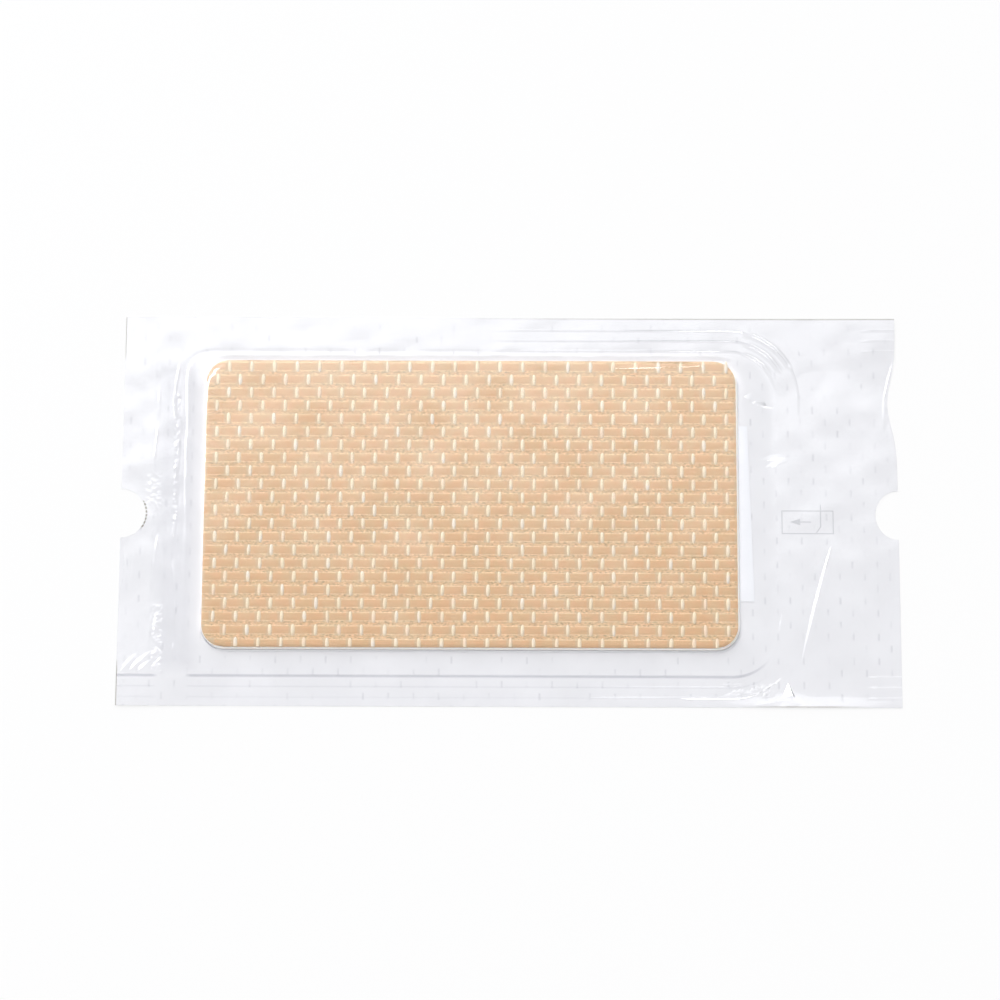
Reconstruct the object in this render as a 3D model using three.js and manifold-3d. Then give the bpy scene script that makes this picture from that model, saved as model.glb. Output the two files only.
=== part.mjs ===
// A silicone dressing with a woven backing, sealed in a peel pouch of clear film on white paper.
// Millimetres, +Z up. The origin is the middle of the pouch's underside, +X runs along its length
// towards the end that is peeled open, and +Y runs across its width.
import * as THREE from "three";
import { mergeVertices } from "three/addons/utils/BufferGeometryUtils.js";
import Module from "manifold-3d";

const wasm = await Module();
wasm.setup();

// The dressing: a soft silicone sheet with a cloth on top and a liner underneath
const dressingLength = 180;
const dressingWidth = 100;
const dressingCorner = 8;
const siliconeThickness = 1.2;
const siliconeLip = 0.6; // how far the silicone shows past the cloth all round
const linerThickness = 0.15;

// The liner's pull tab, measured from the dressing's right end and its middle line
const tabReachAbove = 2.8;
const tabReachBelow = 4.6;
const tabAbove = 27.7;
const tabBelow = 32.7;

// The woven cloth: flat tapes laid side by side, held down by short stitches
const clothThickness = 0.5;
const tapePitch = 4.54;
const tapeTop = 3.8; // the flat width on top of a tape
const tapeGroove = 0.3; // the width of the groove's floor between two tapes
const tapeRise = 0.25;
const stitchPitch = 7.66;
const stitchStart = 6.4; // from the cloth's left end to the first stitch of a row
const stitchLength = 3.5;
const stitchWidth = 1.4;
const stitchRidge = 1.4; // the length of the crest on top of a stitch
const stitchRise = 0.2;

// The room between the dressing and the rim of the cavity formed in the film
const roomLeft = 7.2;
const roomRight = 11.5;
const roomAbove = 2.3;
const roomBelow = 6.7;
const cavityCornerLeft = 8;
const cavityCornerRight = 14.7;
const wallClearance = 0.6; // between the dressing's edge and the cavity's wall at its top
const roofClearance = 0.3;

// The sealing ribs round the cavity, and what is left of the pouch outside them
const ribCount = 3;
const ribGap = 1.6; // from the cavity's rim to the first rib
const ribPitch = 3.6;
const ribWidth = 1.4;
const ribHeight = 0.35;
const innerArc = Math.PI / 3; // how far the inner ribs follow the right corners
const marginAbove = 4.3;
const marginBelow = 3;
const leftTail = 21.4; // from the pouch's left end to the cavity
const peelTab = 33.1; // from the outer rib to the pouch's right end
const stubLength = 10.5; // short ribs at the right end
const bandInset = 11.7; // from the pouch's left end to the upright seal band
const bandWidth = 6.7;

// The pouch's two webs and the thumb notches cut through both
const paperThickness = 0.2;
const filmThickness = 0.12;
const notchRadius = 8.4;
const notchDrop = 1.5; // how far the notches sit below the middle line

// The straight crease across the peel end, from the pouch's right end and its middle line
const creaseTop = { fromEnd: 21.8, below: 9.5 };
const creaseFoot = { fromEnd: 35, below: 52 };
const creaseHeight = 0.45;
const creaseWidth = 1.2;

const arcSteps = 8; // straight pieces in a quarter turn
const wallSteps = 5; // rings up the cavity's wall
const sink = 0.06; // how far a raised piece is rooted in what it stands on

// Places that follow from the sizes above
const ribSpan = ribGap + (ribCount - 1) * ribPitch;
const pouchLength = leftTail + roomLeft + dressingLength + roomRight + ribSpan + peelTab;
const pouchWidth = marginBelow + roomBelow + dressingWidth + roomAbove + marginAbove + 2 * ribSpan;
const pouchRight = pouchLength / 2;
const pouchTop = pouchWidth / 2;

const cavity = {
  left: -pouchRight + leftTail,
  right: pouchRight - peelTab - ribSpan,
  bottom: -pouchTop + marginBelow + ribSpan,
  top: pouchTop - marginAbove - ribSpan,
  cornerLeft: cavityCornerLeft,
  cornerRight: cavityCornerRight,
};
const dressing = {
  left: cavity.left + roomLeft,
  right: cavity.right - roomRight,
  bottom: cavity.bottom + roomBelow,
  top: cavity.top - roomAbove,
  cornerLeft: dressingCorner,
  cornerRight: dressingCorner,
};
const middleY = (dressing.bottom + dressing.top) / 2;

const linerFloor = paperThickness;
const siliconeFloor = linerFloor + linerThickness;
const clothFloor = siliconeFloor + siliconeThickness;
const tapeFloor = clothFloor + clothThickness;
const stitchFloor = tapeFloor + tapeRise;
const flangeTop = paperThickness + filmThickness;
const roofUnder = stitchFloor + stitchRise + roofClearance;

// A closed geometry as a solid that can be joined and cut
function solidOf(geometry) {
  const bare = new THREE.BufferGeometry();
  bare.setAttribute("position", geometry.getAttribute("position"));
  bare.setIndex(geometry.index);
  const merged = mergeVertices(bare, 1e-4);
  const vertProperties = merged.attributes.position.array;
  const triVerts = new Uint32Array(merged.index.array);
  return new wasm.Manifold(new wasm.Mesh({ numProp: 3, vertProperties, triVerts }));
}

// A solid as a named mesh of its own material
function meshOf(name, solid, look) {
  const made = solid.getMesh();
  const geometry = new THREE.BufferGeometry();
  geometry.setAttribute("position", new THREE.BufferAttribute(made.vertProperties, 3));
  geometry.setIndex(new THREE.BufferAttribute(made.triVerts, 1));
  geometry.computeVertexNormals();
  const mesh = new THREE.Mesh(geometry, new THREE.MeshStandardMaterial(look));
  mesh.name = name;
  return mesh;
}

// Points along an arc, its two ends included
function arc(x, y, radius, from, to) {
  const steps = Math.max(1, Math.round((Math.abs(to - from) / (Math.PI / 2)) * arcSteps));
  return Array.from({ length: steps + 1 }, (_, i) => {
    const angle = from + ((to - from) * i) / steps;
    return new THREE.Vector2(x + radius * Math.cos(angle), y + radius * Math.sin(angle));
  });
}

// The outline of a rectangle with rounded corners, anticlockwise from its lower right corner
function rounded({ left, right, bottom, top, cornerLeft, cornerRight }) {
  const quarter = Math.PI / 2;
  return [
    ...arc(right - cornerRight, bottom + cornerRight, cornerRight, -quarter, 0),
    ...arc(right - cornerRight, top - cornerRight, cornerRight, 0, quarter),
    ...arc(left + cornerLeft, top - cornerLeft, cornerLeft, quarter, 2 * quarter),
    ...arc(left + cornerLeft, bottom + cornerLeft, cornerLeft, 2 * quarter, 3 * quarter),
  ];
}

// The same rectangle made larger, or smaller with a negative margin
function grown(area, margin) {
  return {
    left: area.left - margin,
    right: area.right + margin,
    bottom: area.bottom - margin,
    top: area.top + margin,
    cornerLeft: area.cornerLeft + margin,
    cornerRight: area.cornerRight + margin,
  };
}

// A rectangle part of the way from one to another
function between(from, to, share) {
  const entries = Object.keys(from).map((key) => [key, from[key] + (to[key] - from[key]) * share]);
  return Object.fromEntries(entries);
}

// A flat plate of that outline
function plate(outline, floor, thickness) {
  const shape = new THREE.Shape(outline);
  const geometry = new THREE.ExtrudeGeometry(shape, { depth: thickness, bevelEnabled: false });
  return solidOf(geometry.translate(0, 0, floor));
}

// A solid through rings of equally many points, each ring { outline, z }, from the lowest up
function loft(rings) {
  const count = rings[0].outline.length;
  const position = rings.flatMap(({ outline, z }) => outline.flatMap((p) => [p.x, p.y, z]));
  const index = [];
  for (let ring = 0; ring + 1 < rings.length; ring++) {
    for (let i = 0; i < count; i++) {
      const a = ring * count + i;
      const b = ring * count + ((i + 1) % count);
      index.push(a, b, b + count, a, b + count, a + count);
    }
  }
  const cap = THREE.ShapeUtils.triangulateShape(rings[0].outline, []);
  const last = (rings.length - 1) * count;
  for (const [a, b, c] of cap) {
    index.push(a, c, b, last + a, last + b, last + c);
  }
  const geometry = new THREE.BufferGeometry();
  geometry.setAttribute("position", new THREE.Float32BufferAttribute(position, 3));
  geometry.setIndex(index);
  return solidOf(geometry);
}

// A raised line along a path of points on the flange
function ridge(path, width, height) {
  const position = [];
  const index = [];
  const corners = [
    [-width / 2, flangeTop - sink],
    [width / 2, flangeTop - sink],
    [width / 2, flangeTop],
    [width / 4, flangeTop + height],
    [-width / 4, flangeTop + height],
    [-width / 2, flangeTop],
  ];
  path.forEach((point, i) => {
    const before = path[Math.max(i - 1, 0)];
    const after = path[Math.min(i + 1, path.length - 1)];
    const side = after.clone().sub(before).normalize();
    for (const [out, z] of corners) {
      position.push(point.x + side.y * out, point.y - side.x * out, z);
    }
  });
  const count = corners.length;
  for (let i = 0; i + 1 < path.length; i++) {
    for (let k = 0; k < count; k++) {
      const a = i * count + k;
      const b = i * count + ((k + 1) % count);
      index.push(a, b + count, b, a, a + count, b + count);
    }
  }
  const last = (path.length - 1) * count;
  for (let k = 1; k + 1 < count; k++) {
    index.push(0, k, k + 1, last, last + k + 1, last + k);
  }
  const geometry = new THREE.BufferGeometry();
  geometry.setAttribute("position", new THREE.Float32BufferAttribute(position, 3));
  geometry.setIndex(index);
  return solidOf(geometry);
}

function point(x, y) {
  return new THREE.Vector2(x, y);
}

// The pouch's outline, with a half-round thumb notch in the middle of each end
function pouchOutline() {
  const quarter = Math.PI / 2;
  const corner = (x, y) => point(x * pouchRight, y * pouchTop);
  return [
    corner(-1, -1),
    corner(1, -1),
    ...arc(pouchRight, -notchDrop, notchRadius, 3 * quarter, quarter),
    corner(1, 1),
    corner(-1, 1),
    ...arc(-pouchRight, -notchDrop, notchRadius, quarter, -quarter),
  ];
}

// The printed paper web
function paper() {
  return plate(pouchOutline(), 0, paperThickness);
}

// The liner under the silicone, with its pull tab past the dressing's right end
function liner() {
  const root = dressing.right - tabReachAbove;
  const tab = [
    point(root, middleY - tabBelow),
    point(dressing.right + tabReachBelow, middleY - tabBelow),
    point(dressing.right + tabReachAbove, middleY + tabAbove),
    point(root, middleY + tabAbove),
  ];
  const sheet = plate(rounded(dressing), linerFloor, linerThickness);
  return sheet.add(plate(tab, linerFloor, linerThickness));
}

// The soft silicone sheet
function silicone() {
  return plate(rounded(dressing), siliconeFloor, siliconeThickness);
}

// The middle line of each tape that fits the cloth's width, from the lowest up
function tapeLines(cloth) {
  const count = Math.round((cloth.top - cloth.bottom) / tapePitch);
  return Array.from({ length: count }, (_, i) => middleY + (i - (count - 1) / 2) * tapePitch);
}

// The cloth's section: a flat underside with a ridge for each tape
function tapeBed(cloth) {
  const slope = (tapePitch - tapeGroove - tapeTop) / 2;
  const low = cloth.bottom - tapePitch;
  const high = cloth.top + tapePitch;
  const upper = tapeLines(cloth).flatMap((y) => [
    point(y - tapeTop / 2 - slope, tapeFloor),
    point(y - tapeTop / 2, stitchFloor),
    point(y + tapeTop / 2, stitchFloor),
    point(y + tapeTop / 2 + slope, tapeFloor),
  ]);
  const section = [
    point(high, clothFloor),
    point(high, tapeFloor),
    ...upper.reverse(),
    point(low, tapeFloor),
    point(low, clothFloor),
  ];
  const shape = new THREE.Shape(section.reverse());
  const depth = cloth.right - cloth.left + 2 * tapePitch;
  const geometry = new THREE.ExtrudeGeometry(shape, { depth, bevelEnabled: false });
  const [alongX, alongY, alongZ] = [0, 1, 2].map((axis) => new THREE.Vector3().setComponent(axis, 1));
  const turn = new THREE.Matrix4().makeBasis(alongY, alongZ, alongX);
  return solidOf(geometry.applyMatrix4(turn).translate(cloth.left - tapePitch, 0, 0));
}

// Whether a stitch there lies whole inside the cloth's rounded outline
function stitchFits(x, y, cloth) {
  const edge = grown(cloth, -stitchWidth);
  const outX = Math.max(edge.left + edge.cornerLeft - x, x - edge.right + edge.cornerRight, 0);
  const outY = Math.max(edge.bottom + edge.cornerLeft - y, y - edge.top + edge.cornerLeft, 0);
  const inCorner = outX > 0 && outY > 0;
  const far = inCorner ? Math.hypot(outX, outY) : Math.max(outX, outY);
  return far < edge.cornerLeft;
}

// All stitches: each a low spindle across its tape, every second row shifted by half a pitch
function stitches(cloth) {
  const position = [];
  const index = [];
  const faces = [
    [0, 1, 5], [1, 4, 5], [1, 2, 4], [2, 3, 4], [3, 5, 4], [3, 0, 5],
    [6, 7, 8], [6, 8, 9],
    [0, 6, 1], [6, 9, 1], [1, 9, 2], [9, 8, 2], [2, 8, 3], [8, 7, 3], [3, 7, 0], [7, 6, 0],
  ];
  tapeLines(cloth).forEach((y, row) => {
    const shift = row % 2 === 0 ? -stitchPitch / 2 : 0;
    for (let x = cloth.left + stitchStart + shift; x < cloth.right; x += stitchPitch) {
      if (!stitchFits(x, y, cloth)) continue;
      const first = position.length / 3;
      const top = stitchFloor + stitchRise;
      const rim = [
        [x, y - stitchLength / 2],
        [x + stitchWidth / 2, y],
        [x, y + stitchLength / 2],
        [x - stitchWidth / 2, y],
      ];
      rim.forEach(([px, py]) => position.push(px, py, stitchFloor));
      position.push(x, y + stitchRidge / 2, top, x, y - stitchRidge / 2, top);
      const root = [rim[0], rim[3], rim[2], rim[1]];
      root.forEach(([px, py]) => position.push(px, py, stitchFloor - sink));
      faces.flat().forEach((corner) => index.push(first + corner));
    }
  });
  const geometry = new THREE.BufferGeometry();
  geometry.setAttribute("position", new THREE.Float32BufferAttribute(position, 3));
  geometry.setIndex(index);
  return solidOf(geometry);
}

// The woven backing cloth
function backing() {
  const cloth = grown(dressing, -siliconeLip);
  const blank = plate(rounded(cloth), clothFloor, stitchFloor + stitchRise - clothFloor);
  return tapeBed(cloth).intersect(blank).add(stitches(cloth));
}

// The room inside the cavity as a solid, its surface moved outwards by the film's thickness or by 0
function cavityForm(skin) {
  const roof = grown(dressing, wallClearance);
  const rings = [];
  for (let step = 0; step <= wallSteps; step++) {
    const share = step / wallSteps;
    const rise = share * share * (3 - 2 * share);
    rings.push({
      outline: rounded(grown(between(cavity, roof, share), skin)),
      z: paperThickness + (roofUnder - paperThickness) * rise + skin,
    });
  }
  return loft(rings);
}

// The sealing rib at that place, counted from the cavity, with its height above or below
function ribPath(number, side, sweep) {
  const out = ribGap + number * ribPitch;
  const radius = cavityCornerRight + out;
  const area = grown(cavity, out);
  const y = side > 0 ? area.top : area.bottom;
  const quarter = Math.PI / 2;
  const bend = arc(area.right - radius, y - side * radius, radius, side * quarter, side * (quarter - sweep));
  return [point(-pouchRight, y), ...bend];
}

// All raised lines of the flange: ribs, the short ribs at the right end, the seal band, the crease
function flangeLines() {
  const lines = [];
  for (let number = 0; number < ribCount - 1; number++) {
    lines.push(ribPath(number, 1, innerArc), ribPath(number, -1, innerArc));
  }
  const quarter = Math.PI / 2;
  const outer = ribPath(ribCount - 1, -1, quarter);
  lines.push([...ribPath(ribCount - 1, 1, quarter), ...outer.reverse()]);
  for (let number = 0; number < ribCount; number++) {
    const { bottom, top } = grown(cavity, ribGap + number * ribPitch);
    for (const y of [bottom, top]) {
      lines.push([point(pouchRight - stubLength, y), point(pouchRight, y)]);
    }
  }
  for (const inset of [bandInset, bandInset + bandWidth]) {
    const x = -pouchRight + inset;
    lines.push([point(x, cavity.bottom), point(x, cavity.top)]);
  }
  return lines;
}

// The clear film web: a flat flange with its raised lines, and the cavity over the dressing
function film() {
  const flange = plate(pouchOutline(), paperThickness, filmThickness);
  const crease = [creaseTop, creaseFoot].map((end) => point(pouchRight - end.fromEnd, -end.below));
  let made = flange.add(ridge(crease, creaseWidth, creaseHeight));
  for (const line of flangeLines()) {
    made = made.add(ridge(line, ribWidth, ribHeight));
  }
  return made.add(cavityForm(filmThickness)).subtract(cavityForm(0));
}

const looks = {
  paper: { color: 0xf4f4f6, roughness: 0.8, metalness: 0 },
  liner: { color: 0xf7f8fb, roughness: 0.45, metalness: 0 },
  silicone: { color: 0xf3e6d6, roughness: 0.35, metalness: 0 },
  cloth: { color: 0xe3c19b, roughness: 0.85, metalness: 0 },
  film: { color: 0xf2f4f8, roughness: 0.12, metalness: 0, transparent: true, opacity: 0.25 },
};

const part = new THREE.Group();
part.add(meshOf("pouch_paper", paper(), looks.paper));
part.add(meshOf("release_liner", liner(), looks.liner));
part.add(meshOf("silicone_layer", silicone(), looks.silicone));
part.add(meshOf("woven_backing", backing(), looks.cloth));
part.add(meshOf("pouch_film", film(), looks.film));

export default part;
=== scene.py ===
import math

import bpy
import numpy as np
from mathutils import Matrix, Vector


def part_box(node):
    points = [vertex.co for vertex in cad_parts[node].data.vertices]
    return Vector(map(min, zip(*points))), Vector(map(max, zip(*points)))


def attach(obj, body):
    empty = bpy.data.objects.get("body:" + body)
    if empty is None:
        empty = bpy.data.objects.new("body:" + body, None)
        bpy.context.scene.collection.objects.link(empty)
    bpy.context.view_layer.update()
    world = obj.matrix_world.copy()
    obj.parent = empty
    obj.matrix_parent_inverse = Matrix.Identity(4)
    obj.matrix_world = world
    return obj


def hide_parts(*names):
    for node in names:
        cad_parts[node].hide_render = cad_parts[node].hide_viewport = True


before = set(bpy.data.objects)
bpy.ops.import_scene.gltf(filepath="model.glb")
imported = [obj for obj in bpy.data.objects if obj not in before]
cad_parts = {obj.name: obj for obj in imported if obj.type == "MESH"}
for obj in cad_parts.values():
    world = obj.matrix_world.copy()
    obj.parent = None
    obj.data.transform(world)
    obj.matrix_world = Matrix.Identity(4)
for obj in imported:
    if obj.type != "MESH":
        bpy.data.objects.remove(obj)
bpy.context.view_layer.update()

MM = 0.001


def node_box(name):
    """The lowest and highest corner of a CAD node, in millimetres."""
    low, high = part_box(name)
    return np.array(low) / MM, np.array(high) / MM


# Places taken from the frame
PAPER_HIGH = node_box("pouch_paper")[1]
SHEET_LOW, SHEET_HIGH = node_box("silicone_layer")
WEAVE_LOW, WEAVE_HIGH = node_box("woven_backing")
ROOF = node_box("pouch_film")[1][2]
POUCH_X, POUCH_Y = PAPER_HIGH[0], PAPER_HIGH[1]
PAPER_TOP = PAPER_HIGH[2]

# The dressing, whose soft edges lie a little beside the solids' edges
SHEET_CORNER = 8.0
CLOTH_CORNER = 7.6
RIM_LOW, RIM_HIGH = SHEET_LOW + (-0.6, 0.65, 0), SHEET_HIGH + (-0.5, 0, 0)
CLOTH_LOW, CLOTH_HIGH = WEAVE_LOW + (-1.1, 0.65, 0), WEAVE_HIGH + (-0.5, 0.5, 0)
WEAVE_MIDDLE = (WEAVE_LOW[1] + WEAVE_HIGH[1]) / 2
TAPE_PITCH = 4.54
TAPE_RISE = 0.25
STITCH_PITCH = 7.66
STITCH_START = 6.6
STITCH_LENGTH = 4.4
STITCH_WIDTH = 1.28
PANEL_HALF = 1.3
STITCH_RISE, STITCH_SINK = 0.2, 0.1

# The pouch
FILM = 0.12
NOTCH_RADIUS = 8.4
NOTCH_Y = -1.5
ROOM_LEFT, ROOM_RIGHT, ROOM_BELOW, ROOM_ABOVE = 7.2, 11.5, 6.7, 2.3
CAVITY_CORNER_LEFT, CAVITY_CORNER_RIGHT = 8.0, 14.7
WALL_CLEARANCE = 0.6
WALL_LEAN = 1.6
WALL_REACH = 1.0
RIB_GAP, RIB_PITCH, RIB_COUNT = 1.6, 3.6, 3
BAND_X = (-POUCH_X + 11.7, -POUCH_X + 18.4)

# The camera, as the photograph was taken: far above the pouch and a little to its near side
CAMERA_DISTANCE = 1104.0
CAMERA_TILT = 12.31
CAMERA_SIDE = 0.18
CAMERA_SPIN = 0.224
CAMERA_AIM = (-3.2, 3.5, 0.0)
CAMERA_LENS = 117.8
SENSOR = 36.0


# Mesh making

# The angle between two faces, in degrees, from which their edge stays sharp
SHARP = 62


def add_mesh(name, points, faces, material):
    """A smooth mesh object from points in millimetres, with its sharpest edges kept sharp."""
    mesh = bpy.data.meshes.new(name)
    mesh.from_pydata((np.asarray(points, float) * MM).tolist(), [], faces)
    mesh.validate()
    mesh.shade_smooth()
    mesh.set_sharp_from_angle(angle=math.radians(SHARP))
    mesh.materials.append(material)
    made = bpy.data.objects.new(name, mesh)
    bpy.context.scene.collection.objects.link(made)
    return made


def grid_faces(rows, columns, first=0, flipped=False):
    """The quads of a grid of points, facing up where rows run along +Y and columns along +X."""
    index = np.arange(rows * columns).reshape(rows, columns) + first
    a, b = index[:-1, :-1].ravel(), index[:-1, 1:].ravel()
    c, d = index[1:, 1:].ravel(), index[1:, :-1].ravel()
    quads = np.stack([a, d, c, b] if flipped else [a, b, c, d], 1)
    return quads.tolist()


def grid_rim(rows, columns):
    """The indices round a grid's border, anticlockwise from its first point."""
    index = np.arange(rows * columns).reshape(rows, columns)
    return np.concatenate([index[0, :], index[1:, -1], index[-1, -2::-1], index[-2:0:-1, 0]])


def web(name, x, y, bottom, top, material):
    """A closed thin sheet over a grid, from its underside's height to its upper side's."""
    rows, columns = x.shape
    count = rows * columns
    under = np.stack([x, y, bottom], -1).reshape(-1, 3)
    over = np.stack([x, y, top], -1).reshape(-1, 3)
    rim = grid_rim(rows, columns)
    after = np.roll(rim, -1)
    sides = np.stack([rim, after, after + count, rim + count], 1).tolist()
    faces = grid_faces(rows, columns, 0, flipped=True) + grid_faces(rows, columns, count) + sides
    return add_mesh(name, np.concatenate([under, over]), faces, material)


def lines(*spans):
    """Grid lines through spans of (start, end, step), in order and without doubles."""
    parts = [np.linspace(a, b, max(2, round((b - a) / step) + 1)) for a, b, step in spans]
    every = np.unique(np.round(np.concatenate(parts), 4))
    keep = np.concatenate([[True], np.diff(every) > 0.05])
    return every[keep]


def smooth_step(t):
    """A soft rise from 0 to 1 while t goes from 0 to 1."""
    t = np.clip(t, 0, 1)
    return t * t * (3 - 2 * t)


def ripples(x, y, wavelength, seed, count=14):
    """A smooth random surface between about -1 and 1, of that wavelength."""
    rng = np.random.default_rng(seed)
    total = np.zeros_like(x)
    for angle, stretch, phase in rng.random((count, 3)):
        k = 2 * math.pi / (wavelength * (0.6 + 0.9 * stretch))
        turn = angle * math.pi
        total += np.cos(k * (x * math.cos(turn) + y * math.sin(turn)) + 2 * math.pi * phase)
    return total / math.sqrt(count)


def outside(x, y, left, right, low, high, corner_left, corner_right):
    """How far a point lies outside a rounded rectangle, negative inside it."""
    corner = np.where(x > (left + right) / 2, corner_right, corner_left)
    dx = np.maximum(left + corner - x, x - right + corner)
    dy = np.maximum(low + corner - y, y - high + corner)
    far = np.hypot(np.maximum(dx, 0), np.maximum(dy, 0))
    return far + np.minimum(np.maximum(dx, dy), 0) - corner


# The pouch's shape

CAVITY = dict(
    left=SHEET_LOW[0] - ROOM_LEFT,
    right=SHEET_HIGH[0] + ROOM_RIGHT,
    low=SHEET_LOW[1] - ROOM_BELOW,
    high=SHEET_HIGH[1] + ROOM_ABOVE,
    corner_left=CAVITY_CORNER_LEFT,
    corner_right=CAVITY_CORNER_RIGHT,
)
# The ribs follow an outline that starts far past the left end, so they run straight out there
SEAL = dict(CAVITY, left=-3 * POUCH_X)
WALL_FOOT = dict(CAVITY, high=CAVITY["high"] + WALL_REACH)
ROOF_EDGE = dict(
    left=SHEET_LOW[0] - WALL_CLEARANCE,
    right=SHEET_HIGH[0] + WALL_CLEARANCE,
    low=SHEET_LOW[1] - WALL_CLEARANCE,
    high=SHEET_HIGH[1] - WALL_LEAN,
    corner_left=SHEET_CORNER + WALL_CLEARANCE,
    corner_right=SHEET_CORNER + WALL_CLEARANCE,
)
RIB_OFFSETS = [RIB_GAP + k * RIB_PITCH for k in range(RIB_COUNT)]
SEAL_SPAN = RIB_OFFSETS[-1] + 0.8

# Each rib from the cavity outwards: its height, and how far round the right corner it goes in degrees
RIBS_ABOVE = [(0.36, 62), (0.36, 66), (0.38, 104)]
RIBS_BELOW = [(0.0, 40), (0.1, 8), (0.38, 46)]
RIB_HALF = 0.45


def notch_depth(y):
    """How far the thumb notches cut in from the pouch's ends at that height."""
    return np.sqrt(np.maximum(NOTCH_RADIUS**2 - (y - NOTCH_Y) ** 2, 0))


def right_notch(y):
    """The right notch is a little shallower than the left one."""
    return 0.92 * notch_depth(y)


END_ZONE = 13.0


def between_ends(x, y, left_cut, right_cut):
    """Grid lines pressed inwards near the pouch's ends, so that its outline follows the cuts."""
    left = np.clip((END_ZONE - POUCH_X - x) / END_ZONE, 0, 1)
    right = np.clip((END_ZONE - POUCH_X + x) / END_ZONE, 0, 1)
    return x + left * left_cut(y) - right * right_cut(y)


def round_corners(x, y):
    """Grid lines bent round the cavity's right corners, so that they run along the ribs."""
    centre_x = CAVITY["right"] - CAVITY_CORNER_RIGHT
    inner = CAVITY_CORNER_RIGHT + SEAL_SPAN
    made_x, made_y = x.copy(), y.copy()
    for sign, edge in ((1, CAVITY["high"]), (-1, CAVITY["low"])):
        centre_y = edge - sign * CAVITY_CORNER_RIGHT
        outer = POUCH_Y - sign * centre_y
        u, v = x - centre_x, sign * (y - centre_y)
        far = np.maximum(np.maximum(u, v), 1e-6)
        turn = np.where(u >= v, v / far, 2 - u / far) * math.pi / 4
        share = smooth_step((far - inner) / (outer - inner))
        bent_u = far * np.cos(turn) * (1 - share) + u * share
        bent_v = far * np.sin(turn) * (1 - share) + v * share
        here = (u > 0) & (v > 0)
        made_x = np.where(here, centre_x + bent_u, made_x)
        made_y = np.where(here, centre_y + sign * bent_v, made_y)
    return made_x, made_y


def bump(x, y, at, size, turn=0.0, power=2.0):
    """A soft hill of height 1 at a place, size (along, across) in millimetres, turned in degrees."""
    c, s = math.cos(math.radians(turn)), math.sin(math.radians(turn))
    along = ((x - at[0]) * c + (y - at[1]) * s) / size[0]
    across = ((y - at[1]) * c - (x - at[0]) * s) / size[1]
    return np.exp(-(np.hypot(along, across) ** power))


def web_lift(x, y):
    """How far both webs lie above the floor: the lower edge curls up a little towards the right."""
    edge = smooth_step((y + POUCH_Y - 4) / -4)
    right = bump(x, y, (100, -POUCH_Y), (22, 12))
    corner = bump(x, y, (POUCH_X, POUCH_Y), (22, 16)) + bump(x, y, (-POUCH_X, -POUCH_Y), (16, 22))
    return 0.45 * edge * right + 0.6 * corner


def rib_height(x, y):
    """The ribs of the seal: along the long sides, part of the way round the right corners, and as
    short stubs at the right end."""
    off = outside(x, y, **SEAL)
    beyond = np.where(y > 0, y - CAVITY["high"], CAVITY["low"] - y)
    bend_x = CAVITY["right"] - CAVITY_CORNER_RIGHT
    bend_y = np.where(y > 0, CAVITY["high"], -CAVITY["low"]) - CAVITY_CORNER_RIGHT
    turn = np.degrees(np.arctan2(np.maximum(x - bend_x, 0), np.abs(y) - bend_y))
    gap = 1 - bump(x, y * 0, (BAND_X[1], 0), (6, 6), power=4)
    grow = smooth_step(np.where(y > 0, (x + 10) / 75, (x - 20) / 50))
    split = np.where(y > 0, smooth_step((turn - 12) / 10) * smooth_step((66 - turn) / 8), 0)
    total = np.zeros_like(x)
    for offset, above, below in zip(RIB_OFFSETS, RIBS_ABOVE, RIBS_BELOW):
        height = np.where(y > 0, above[0], below[0])
        last = np.where(y > 0, above[1], below[1])
        single = np.maximum(1 - np.abs(off - offset) / RIB_HALF, 0)
        double = 0.75 * np.maximum(1 - np.abs(np.abs(off - offset) - RIB_HALF) / (RIB_HALF - 0.15), 0)
        ring = single + (double - single) * split
        total += height * ring * smooth_step((last - turn) / 12) * gap * grow
        stub = smooth_step((x - POUCH_X + 11) / 2) * np.maximum(1 - np.abs(beyond - offset) / RIB_HALF, 0)
        total += 0.3 * stub
    return total


def film_height(x, y):
    """The film's underside above the paper, in millimetres: a straight wall at the left and soft
    ones elsewhere, with waves that are flattest low on the flange, and the seal's ribs and lines."""
    rim = -outside(x, y, **WALL_FOOT)
    roof = outside(x, y, **ROOF_EDGE)
    share = np.where(rim > 0, rim / np.maximum(rim + np.maximum(roof, 0), 1e-6), 0)
    straight = smooth_step((CAVITY["left"] + 13 - x) / 5)
    made = (ROOF - FILM - PAPER_TOP) * (straight * share + (1 - straight) * smooth_step(share))
    made += 0.4 * share * (1 - share) * ripples(x, y, 12, 11)
    made += 0.05 * (1 + ripples(x, y, 30, 12)) * smooth_step(-roof / 3)
    loose = 0.1 + 0.9 * smooth_step((y + 48) / 30)
    made += 0.05 * (1 + ripples(x, y, 16, 13)) * smooth_step(-rim / 1.5) * loose
    made += rib_height(x, y) + band_height(x, y)
    return np.maximum(made, 0.01)


BAND_HEIGHTS = (0.15, 0.42)


def band_height(x, y):
    """The two uneven upright lines of the seal at the left end."""
    ends = smooth_step((CAVITY["high"] - 2 - np.abs(y)) / 8)
    total = np.zeros_like(x)
    for number, (at, height) in enumerate(zip(BAND_X, BAND_HEIGHTS)):
        sway = 0.9 * ripples(x * 0, y, 34, 20 + number)
        broken = 0.55 + 0.45 * ripples(x * 0, y, 9, 30 + number)
        total += height * broken * np.maximum(1 - np.abs(x - at - sway) / 0.45, 0)
    return total * ends


# Materials

def new_material(name):
    """A material and its empty node tree."""
    made = bpy.data.materials.new(name)
    made.use_nodes = True
    made.node_tree.nodes.clear()
    return made, made.node_tree


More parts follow.
